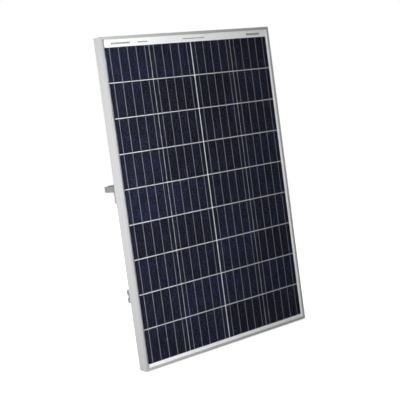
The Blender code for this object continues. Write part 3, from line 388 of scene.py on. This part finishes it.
def grown(name, tree, values, place, body):
    """What a Geometry Nodes tree makes of these values, as a plain mesh at a place in the
    panel's own axes."""
    seed = bpy.data.objects.new(name + "_seed", bpy.data.meshes.new(name + "_seed"))
    bpy.context.scene.collection.objects.link(seed)
    modifier = seed.modifiers.new("grow", "NODES")
    modifier.node_group = tree
    for item in tree.interface.items_tree:
        if item.item_type == "SOCKET" and item.in_out == "INPUT":
            modifier[item.identifier] = values[item.name]
    bpy.context.view_layer.update()
    graph = bpy.context.evaluated_depsgraph_get()
    mesh = bpy.data.meshes.new_from_object(seed.evaluated_get(graph), depsgraph=graph)
    bpy.data.objects.remove(seed, do_unlink=True)
    mesh.transform(panel_axes @ Matrix.Translation(place))
    mesh.name = name
    made = bpy.data.objects.new(name, mesh)
    bpy.context.scene.collection.objects.link(made)
    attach(made, body)
    return made


def cell_index(tree, point, axis, first, pitch):
    """Which column or row of cells a point is in, as a whole number."""
    along = add_node(tree, "ShaderNodeSeparateXYZ", {"Vector": point}).outputs[axis]
    steps = maths(tree, "DIVIDE", maths(tree, "ADD", along, -first), pitch)
    return maths(tree, "FLOOR", steps)


def vectors(tree, operation, first, second):
    """The result of one sum on two vectors."""
    return add_node(tree, "ShaderNodeVectorMath", {0: first, 1: second},
                    operation=operation).outputs[0]


def part_tone(tree, weight, first, second):
    """One number with a part of another mixed in."""
    return add_node(tree, "ShaderNodeMix", {
        0: weight, 2: first, 3: second,
    }, data_type="FLOAT").outputs[0]


def nitride_coated_silicon():
    """Dark blue coat over silicon crystals 6 to 30 mm across. The printed silver fingers are
    1.8 mm apart and 0.05 mm wide, and are drawn 0.54 mm wide and faint."""
    finger_part = 0.3
    finger_weight = 0.03
    made, tree = bare_material("nitride_coated_silicon")
    point = panel_point(tree)
    column = cell_index(tree, point, "X", 0.0, column_pitch)
    row = cell_index(tree, point, "Z", cell_low.z, row_pitch)
    own = add_node(tree, "ShaderNodeCombineXYZ", {"X": column, "Y": 0.5, "Z": row}).outputs[0]
    block = add_node(tree, "ShaderNodeTexWhiteNoise", {"Vector": own}, noise_dimensions="3D")
    shift = vectors(tree, "MULTIPLY", block.outputs["Color"], (7.0, 0.0, 7.0))
    wavy = noise(tree, point, 14, detail=2, output="Color")
    warp = vectors(tree, "MULTIPLY", wavy, (0.9, 0.9, 0.9))
    moved = vectors(tree, "ADD", stretched(tree, point, 17, 400, 25), shift)
    moved = vectors(tree, "ADD", moved, warp)
    large = add_node(tree, "ShaderNodeTexVoronoi", {"Vector": moved, "Scale": 1.0})
    small = add_node(tree, "ShaderNodeTexVoronoi", {"Vector": moved, "Scale": 2.7})
    large_tone = add_node(tree, "ShaderNodeSeparateColor", {"Color": large.outputs["Color"]})
    small_tone = add_node(tree, "ShaderNodeSeparateColor", {"Color": small.outputs["Color"]})
    tone = part_tone(tree, 0.15, large_tone.outputs["Red"], small_tone.outputs["Green"])
    tone = part_tone(tree, 0.32, tone, block.outputs["Value"])
    coat = shades(tree, tone, (0.1, "#11111A"), (0.5, "#161725"), (0.9, "#1C1E34"))
    up = add_node(tree, "ShaderNodeSeparateXYZ", {"Vector": point}).outputs["Z"]
    step = maths(tree, "FRACT", maths(tree, "DIVIDE", up, FINGER_PITCH))
    finger = maths(tree, "LESS_THAN", step, finger_part)
    colour = toward(tree, maths(tree, "MULTIPLY", finger, finger_weight), coat, "#8E90A0")
    finish(tree, add_node(tree, "ShaderNodeBsdfPrincipled", {
        "Base Color": colour, "Metallic": 0.0, "Roughness": between(tree, tone, 0.42, 0.6),
        "IOR": 1.5, "Specular IOR Level": 0.12, "Normal": bumped(tree, tone, 0.06, 0.1 * MM),
    }))
    return made


plates = plates_tree()
nitride_coat = nitride_coated_silicon()
for number, (low, high) in enumerate(strings, 1):
    lowest_cell = (low.z + high.z) / 2 - (ROWS - 1) / 2 * row_pitch
    cells = grown(f"silicon_cells_{number}", plates, {
        "Columns": 1, "Rows": ROWS, "Column Pitch": 0.0, "Row Pitch": row_pitch,
        "Width": cell_width, "Height": row_pitch - ROW_GAP, "Thickness": CELL_THICKNESS,
        "Corner Radius": CELL_CORNER, "Finish": nitride_coat,
    }, (low.x + cell_width / 2, CELL_FRONT + CELL_THICKNESS, lowest_cell), "panel")
    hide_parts(f"cell_string_{number}")

# ---------------------------------------------------------------------------------------------
# Ribbons: five flat copper strips along each string, tinned and soldered to the cells, so their
# faces are slightly rippled.
RIBBONS = 5
RIBBON_WIDTH = 1.4 * MM
RIBBON_THICKNESS = 0.15 * MM
RIBBON_CORNER = 0.2 * MM
RIBBON_SUNK = 0.02 * MM
ribbon_pitch = cell_width / RIBBONS


def tinned_copper(name, light, dark, ripple_mm):
    """A dull bright tin coat, with the ripples that hot solder leaves."""
    made, tree = bare_material(name)
    ripples = noise(tree, panel_point(tree), ripple_mm, ripple_mm, ripple_mm * 2.5, detail=3)
    finish(tree, add_node(tree, "ShaderNodeBsdfPrincipled", {
        "Base Color": shades(tree, ripples, (0.3, dark), (0.7, light)), "Metallic": 0.55,
        "Roughness": between(tree, ripples, 0.42, 0.6),
        "Normal": bumped(tree, ripples, 0.3, 0.1 * MM),
    }))
    return made


ribbon_tin = tinned_copper("tinned_copper_ribbon", "#BDBDCD", "#9C9CB0", 3)
for number, (low, high) in enumerate(strings, 1):
    grown(f"string_ribbons_{number}", plates, {
        "Columns": RIBBONS, "Rows": 1, "Column Pitch": ribbon_pitch, "Row Pitch": 0.0,
        "Width": RIBBON_WIDTH, "Height": high.z - low.z, "Thickness": RIBBON_THICKNESS,
        "Corner Radius": RIBBON_CORNER, "Finish": ribbon_tin,
    }, (low.x + ribbon_pitch / 2, CELL_FRONT - RIBBON_SUNK, (low.z + high.z) / 2), "panel")


# ---------------------------------------------------------------------------------------------
# Backsheet: white polymer film laminated behind the cells. It is matt with a fine emboss, and
# the ribbons and the cells' edges press through it as faint ridges that show from behind. The
# film is also painted darker along these ridges, as painted shade, which darkens the gaps
# between the cells as seen from the front.
def ridges_along(tree, point, axis, first, pitch):
    """Narrow ridges a pitch apart across one axis, the first of them at a given place."""
    along = add_node(tree, "ShaderNodeSeparateXYZ", {"Vector": point}).outputs[axis]
    steps = maths(tree, "DIVIDE", maths(tree, "ADD", along, -first), pitch)
    wave = maths(tree, "COSINE", maths(tree, "MULTIPLY", steps, 2 * pi))
    return add_node(tree, "ShaderNodeMapRange", {
        "Value": wave, "From Min": 0.9, "From Max": 1.0,
    }, interpolation_type="SMOOTHSTEP").outputs["Result"]


def white_backsheet():
    """White film, cloudy by a shade, with the ridges of what lies under it, and painted shade
    along the ridges.
    """
    made, tree = bare_material("white_polymer_backsheet")
    point = panel_point(tree)
    emboss = noise(tree, point, 2.2, detail=3)
    clouds = noise(tree, point, 130, 130, 90, detail=5)
    ridges_and_painted_shade = maths(
        tree, "MAXIMUM",
        ridges_along(tree, point, "X", column_pitch / RIBBONS / 2, column_pitch / RIBBONS),
        ridges_along(tree, point, "Z", cell_low.z, row_pitch))
    film = toward(tree, between(tree, clouds, 0, 0.5), linear_colour("#F7F7F5"), "#EBEBE6")
    # Painted shade: grey is mixed into the film along the ridges, over the ribbons and in the gaps
    # between the cells.
    film_with_painted_shade = toward(tree, between(tree, ridges_and_painted_shade, 0, 0.10), film, "#B9BABC")
    fine = bumped(tree, emboss, 0.1, 0.1 * MM)
    finish(tree, add_node(tree, "ShaderNodeBsdfPrincipled", {
        "Base Color": film_with_painted_shade, "Roughness": between(tree, clouds, 0.42, 0.6), "IOR": 1.46,
        "Normal": bumped(tree, ridges_and_painted_shade, 0.45, 0.5 * MM, Normal=fine),
    }))
    return made


coat_node(white_backsheet(), "backsheet")


# ---------------------------------------------------------------------------------------------
# Tape: wide strips join the strings' ends and lead to the junction box. They lie under white
# polyester tape, so that they don't show on the white margins. The tape is woven fine and is a
# little glossier than the sheet.
def white_tape():
    """White tape with a fine weave."""
    made, tree = bare_material("white_polyester_tape")
    weave = noise(tree, panel_point(tree), 0.8, detail=2)
    finish(tree, add_node(tree, "ShaderNodeBsdfPrincipled", {
        "Base Color": shades(tree, weave, (0.35, "#EEEEEB"), (0.7, "#F8F8F6")),
        "Roughness": between(tree, weave, 0.36, 0.5),
        "Normal": bumped(tree, weave, 0.15, 0.05 * MM),
    }))
    return made


coat_node(white_tape(), "string_link_bottom_left", "string_link_bottom_right",
          "string_link_top", "output_ribbon_left", "output_ribbon_right")


# ---------------------------------------------------------------------------------------------
# Printing: rows of plain blocks on the sheet's white top margin, pad printed in dark grey before
# the glass goes on. Each row has its middle across the panel, its count and its blocks' height.
def pad_printed_ink():
    """Thin ink that the sheet's emboss breaks up."""
    made, tree = bare_material("pad_printed_grey_ink")
    speck = noise(tree, panel_point(tree), 1.5, detail=3)
    finish(tree, add_node(tree, "ShaderNodeBsdfPrincipled", {
        "Base Color": shades(tree, speck, (0.35, "#3E3F43"), (0.7, "#77787C")),
        "Roughness": between(tree, speck, 0.5, 0.7),
    }))
    return made


grey_ink = pad_printed_ink()
SHEET_FRONT = 5.9 * MM
INK_THICKNESS = 0.05 * MM
BLOCK_SPACING = 5.2 * MM
BLOCK_WIDTH = 3.6 * MM
BLOCK_CORNER = 0.6 * MM
ABOVE_CELLS = 9 * MM
print_height = cell_low.z + ROWS * row_pitch + ABOVE_CELLS
for number, (middle, blocks, block_height) in enumerate((
    (-260 * MM, 13, 5.5 * MM),
    (-180 * MM, 7, 3.6 * MM),
    (16 * MM, 17, 3.0 * MM),
    (264 * MM, 11, 6.5 * MM),
), 1):
    first_block = middle - (blocks - 1) / 2 * BLOCK_SPACING
    grown(f"printed_blocks_{number}", plates, {
        "Columns": blocks, "Rows": 1, "Column Pitch": BLOCK_SPACING, "Row Pitch": 0.0,
        "Width": BLOCK_WIDTH, "Height": block_height, "Thickness": INK_THICKNESS,
        "Corner Radius": BLOCK_CORNER, "Finish": grey_ink,
    }, (first_block, SHEET_FRONT - 2 * INK_THICKNESS, print_height), "panel")

# Edge seal: black closed-cell foam tape pinched between the laminate and the rails' ledge. It
# has the fine open skin of a cut foam.
foam = sandy_skin("closed_cell_foam", "#2A2A2B", "#161617", 0.7, 0.0)
coat_node(foam, "edge_seal")

# ---------------------------------------------------------------------------------------------
# Junction box: a black PPO tray glued to the backsheet, with a hinged lid over a rubber seal.
# Both are injection moulded with a spark-eroded grain, and the lid carries grip ribs.
black_ppo = sandy_skin("black_ppo_moulding", "#303032", "#1B1B1D", 0.9, 0.0)
TRAY_EDGE = 0.3 * MM
COVER_EDGE = 0.6 * MM
eased("junction_box", "junction_tray", TRAY_EDGE, black_ppo, "panel", 3 * MM)
eased("junction_lid", "junction_cover", COVER_EDGE, black_ppo, "lid", 3 * MM)
lid_low, lid_high = on_panel("junction_lid")
GRIP_RIBS = 7
RIB_PITCH = 5 * MM
RIB_LENGTH = 64 * MM
RIB_WIDTH = 1.8 * MM
RIB_CORNER = 0.85 * MM
RIB_PROUD = 0.9 * MM
RIB_ROOT = 0.3 * MM
LOWEST_RIB = 14 * MM
grown("junction_cover_ribs", plates, {
    "Columns": 1, "Rows": GRIP_RIBS, "Column Pitch": 0.0, "Row Pitch": RIB_PITCH,
    "Width": RIB_LENGTH, "Height": RIB_WIDTH, "Thickness": RIB_PROUD + RIB_ROOT,
    "Corner Radius": RIB_CORNER, "Finish": black_ppo,
}, (0, lid_high.y + RIB_PROUD, lid_low.z + LOWEST_RIB), "lid")

rubber = sandy_skin("moulded_epdm_rubber", "#2B2B2B", "#141414", 1.1, 0.0)
coat_node(rubber, "lid_seal")
for side in ("left", "right"):
    eased("cable_gland_" + side, side + "_cable_gland", TRAY_EDGE, black_ppo, "panel",
          2 * MM)

# Inside the box: a grey terminal carrier, three tinned copper plates that take the panel's
# output, and two bypass diodes in moulded epoxy across them.
grey_pbt = sandy_skin("grey_pbt_moulding", "#7E7F82", "#6A6B6E", 0.8, 0.0)
coat_node(grey_pbt, "terminal_carrier")
plate_tin = tinned_copper("tinned_copper_plate", "#D6D2C8", "#B8B4AA", 6)
coat_node(plate_tin, "terminal_plate_left", "terminal_plate_middle", "terminal_plate_right")
epoxy = sandy_skin("moulded_epoxy", "#2A2A2C", "#1A1A1B", 0.5, 0.0)
coat_node(epoxy, "bypass_diode_1", "bypass_diode_2")


# ---------------------------------------------------------------------------------------------
# Cross rails: an upper rail pressed from 3 mm steel into a deep shelf, and a lower rail of
# roll-formed channel. Both are hot-dip galvanised, so zinc crystals show as a grey spangle.
def galvanised_steel():
    """Zinc spangle 9 mm across, with a cloudy patina over it."""
    made, tree = bare_material("hot_dip_galvanised_steel")
    place = object_point(tree)
    wavy = noise(tree, place, 8, detail=3, output="Color")
    spangle = add_node(tree, "ShaderNodeTexVoronoi", {
        "Vector": vectors(tree, "ADD", stretched(tree, place, 9), wavy), "Scale": 1.0,
    })
    tone = add_node(tree, "ShaderNodeSeparateColor", {
        "Color": spangle.outputs["Color"],
    }).outputs["Red"]
    patina = noise(tree, place, 60, detail=6, roughness=0.65)
    zinc = shades(tree, tone, (0.1, "#A0A2A2"), (0.5, "#AFB1B1"), (0.9, "#C2C4C3"))
    roughness = maths(tree, "ADD", between(tree, tone, 0.36, 0.52),
                      between(tree, patina, -0.05, 0.12))
    finish(tree, add_node(tree, "ShaderNodeBsdfPrincipled", {
        "Base Color": toward(tree, between(tree, patina, 0, 0.6), zinc, "#9A9B98"),
        "Metallic": 0.6, "Roughness": roughness, "Normal": bumped(tree, tone, 0.12, 0.2 * MM),
    }))
    return made


galvanised = galvanised_steel()
PRESSED_EDGE = 0.7 * MM
for node, name in (("upper_rail", "shelf_rail"), ("lower_rail", "channel_rail")):
    eased(node, name, PRESSED_EDGE, galvanised, "panel", 4 * MM)


# ---------------------------------------------------------------------------------------------
# Fasteners: M8 bolts and nuts in bright zinc plate, with a faint blue tone from the passivate
# and small scratches from the spanner.
def zinc_plate():
    """Bright plate whose tone drifts from blue to straw."""
    made, tree = bare_material("bright_zinc_plated_steel")
    place = object_point(tree)
    marks = noise(tree, place, 1.2, 1.2, 6, detail=5)
    tint = noise(tree, place, 7, detail=2)
    plate = shades(tree, tint, (0.35, "#C3C8CE"), (0.65, "#D2D1C9"))
    finish(tree, add_node(tree, "ShaderNodeBsdfPrincipled", {
        "Base Color": toward(tree, between(tree, marks, 0, 0.35), plate, "#8D9094"),
        "Metallic": 1.0, "Roughness": between(tree, marks, 0.22, 0.42),
        "Normal": bumped(tree, marks, 0.15, 0.05 * MM),
    }))
    return made


zinc_plated = zinc_plate()
BOLT_EDGE = 0.35 * MM
LID_PIN_EDGE = 0.2 * MM
for level in ("upper", "lower"):
    for side in ("left", "right"):
        for piece in ("bolt", "nut"):
            eased(f"rail_{piece}_{level}_{side}", f"{level}_{side}_rail_{piece}", BOLT_EDGE,
                  zinc_plated, "panel", 2 * MM)
    eased(f"guide_bolt_{level}", f"{level}_guide_bolt", BOLT_EDGE, zinc_plated, "panel",
          2 * MM)
eased("lid_pin", "junction_cover_pin", LID_PIN_EDGE, zinc_plated, "panel")

# Guide channel: the same galvanised channel, upright behind the panel, where the slider runs.
# A black rubber packer fills the step between it and the upper rail.
GUIDE_EDGE = 0.5 * MM
PACKER_EDGE = 0.6 * MM
eased("guide_channel", "slider_guide", GUIDE_EDGE, galvanised, "panel",
      4 * MM)
eased("guide_packer", "guide_spacer", PACKER_EDGE, rubber, "panel", 4 * MM)


# ---------------------------------------------------------------------------------------------
# Folding leg: two square steel tubes on pins in galvanised brackets, joined by a crossbar and
# the stay's axle, all in a grey powder coat with the orange peel of a baked finish.
def powder_coat():
    """Grey coat with an orange peel, a little worn in patches."""
    made, tree = bare_material("grey_powder_coat")
    place = object_point(tree)
    peel = noise(tree, place, 1.6, detail=2)
    wear = noise(tree, place, 45, detail=7, roughness=0.7)
    finish(tree, add_node(tree, "ShaderNodeBsdfPrincipled", {
        "Base Color": shades(tree, wear, (0.3, "#8B8D8E"), (0.6, "#98999A"), (0.8, "#A2A3A2")),
        "Roughness": between(tree, wear, 0.36, 0.56), "IOR": 1.5,
        "Normal": bumped(tree, peel, 0.25, 0.12 * MM),
    }))
    return made


grey_coat = powder_coat()
TUBE_CORNER = 1.6 * MM
PIN_EDGE = 0.5 * MM
FOOT_EDGE = 2.0 * MM
AXLE_EDGE = 0.6 * MM
for side in ("left", "right"):
    eased("leg_bracket_" + side, side + "_leg_bracket", PRESSED_EDGE, galvanised, "panel",
          4 * MM)
    eased("leg_" + side, side + "_leg_tube", TUBE_CORNER, grey_coat, "leg_frame",
          20 * MM)
    eased("leg_pivot_pin_" + side, side + "_leg_pin", PIN_EDGE, zinc_plated, "leg_frame")
    eased("foot_" + side, side + "_rubber_foot", FOOT_EDGE, rubber, "leg_frame",
          10 * MM)
eased("leg_crossbar", "leg_crossbar_tube", TUBE_CORNER, grey_coat, "leg_frame")
eased("stay_axle", "stay_axle_bar", AXLE_EDGE, grey_coat, "leg_frame")


# ---------------------------------------------------------------------------------------------
# Stay: a flat steel bar with a boss at each end, from the leg's axle to the slider. The slider
# is machined from grey nylon, and the clamping knob is moulded with lobes to grip.
def machined_nylon():
    """Grey nylon with the close lines of a cutter."""
    made, tree = bare_material("machined_grey_nylon")
    cuts = noise(tree, object_point(tree), 14, 14, 0.8, detail=3)
    finish(tree, add_node(tree, "ShaderNodeBsdfPrincipled", {
        "Base Color": shades(tree, cuts, (0.3, "#5C5D60"), (0.7, "#6C6D70")),
        "Roughness": between(tree, cuts, 0.4, 0.55), "IOR": 1.53,
        "Normal": bumped(tree, cuts, 0.2, 0.05 * MM),
    }))
    return made


SLIDER_EDGE = 0.8 * MM
KNOB_EDGE = 0.7 * MM
eased("stay_bar", "folding_stay", PRESSED_EDGE, grey_coat, "stay", 6 * MM)
eased("slider", "nylon_slider", SLIDER_EDGE, machined_nylon(), "slider", 4 * MM)
eased("slider_pin", "slider_cross_pin", PIN_EDGE, zinc_plated, "slider")
eased("lock_knob", "clamping_knob", KNOB_EDGE, black_ppo, "knob", 3 * MM)


# ---------------------------------------------------------------------------------------------
# Studio: a pale matt floor that glows a little, a tall softbox to the left, a large one
# overhead and a low one behind. Only the camera sees the sky as white. To the pieces it is dim,
# and dark to the front right, as an unlit room is, so the glass mirrors little of it.
def room_floor():
    """Pale matt floor with a faint mottle."""
    made, tree = bare_material("pale_studio_floor")
    grain = noise(tree, object_point(tree), 30, detail=3)
    finish(tree, add_node(tree, "ShaderNodeBsdfPrincipled", {
        "Base Color": shades(tree, grain, (0.3, "#F4F4F3"), (0.7, "#F7F7F6")),
        "Roughness": 0.9, "Specular IOR Level": 0.0,
        "Emission Color": (1, 1, 1, 1), "Emission Strength": 0.7,
    }))
    return made


FLOOR_RADIUS = 1.5
floor_work = bmesh.new()
bmesh.ops.create_circle(floor_work, cap_ends=True, segments=96, radius=FLOOR_RADIUS)
floor_mesh = bpy.data.meshes.new("studio_floor")
floor_work.to_mesh(floor_mesh)
floor_work.free()
floor_mesh.materials.append(room_floor())
studio_floor = bpy.data.objects.new("studio_floor", floor_mesh)
bpy.context.scene.collection.objects.link(studio_floor)
studio_floor.visible_glossy = False
studio_floor.visible_diffuse = False
studio_floor.visible_transmission = False

DARK_SIDE = (0.58, -0.80, 0.10)
DIM_SKY = 0.15
WHITE_SKY = 1.0
sky = bpy.data.worlds.new("studio_sky")
sky.use_nodes = True
sky_tree = sky.node_tree
sky_tree.nodes.clear()
direction = add_node(sky_tree, "ShaderNodeTexCoord").outputs["Generated"]
toward_dark = add_node(sky_tree, "ShaderNodeVectorMath", {
    0: direction, 1: DARK_SIDE,
}, operation="DOT_PRODUCT").outputs["Value"]
room_light = add_node(sky_tree, "ShaderNodeMapRange", {
    "Value": toward_dark, "From Min": 0.45, "From Max": 0.86, "To Min": DIM_SKY, "To Max": 0.0,
}, interpolation_type="SMOOTHSTEP").outputs["Result"]
seen = add_node(sky_tree, "ShaderNodeLightPath").outputs["Is Camera Ray"]
background = add_node(sky_tree, "ShaderNodeBackground", {
    "Color": (1, 1, 1, 1), "Strength": part_tone(sky_tree, seen, room_light, WHITE_SKY),
})
add_node(sky_tree, "ShaderNodeOutputWorld", {"Surface": background.outputs[0]})
bpy.context.scene.world = sky


def softbox(name, place, target, width, height, watts, mirrored=True):
    """A soft lamp aimed at a point. One that isn't mirrored leaves no glare on the metal."""
    lamp = bpy.data.lights.new(name, "AREA")
    lamp.shape = "RECTANGLE"
    lamp.size = width
    lamp.size_y = height
    lamp.energy = watts
    holder = bpy.data.objects.new(name, lamp)
    holder.location = place
    holder.visible_camera = False
    holder.visible_glossy = mirrored
    holder.rotation_euler = (Vector(target) - Vector(place)).to_track_quat("-Z", "Y").to_euler()
    bpy.context.scene.collection.objects.link(holder)


softbox("left_softbox", (-1.15, -0.78, 0.8), (-0.2, 0, 0.55), width=0.5, height=1.3, watts=39,
        mirrored=False)
softbox("overhead_softbox", (0, 0.9, 3.6), (0, 0, 0), width=3.0, height=3.0, watts=60)
softbox("rear_softbox", (-0.25, 2.4, 0.2), (0, 0, 0.45), width=1.2, height=0.6, watts=24,
        mirrored=False)

# The camera stands to the left of the panel, a little above it, on a long lens.
camera = bpy.data.objects.new("camera", bpy.data.cameras.new("camera"))
camera.location = (-1.715, -2.18, 1.2275)
turn_left = Matrix.Rotation(radians(-38.22), 3, "Z")
tip_down = Matrix.Rotation(radians(90 - 13.75), 3, "X")
roll = Matrix.Rotation(radians(0.29), 3, "Z")
camera.rotation_euler = (turn_left @ tip_down @ roll).to_euler()
camera.data.sensor_width = 36
camera.data.lens = 79.8
camera.data.shift_y = -0.075
bpy.context.scene.collection.objects.link(camera)
bpy.context.scene.camera = camera
bpy.context.scene.view_settings.view_transform = "Standard"
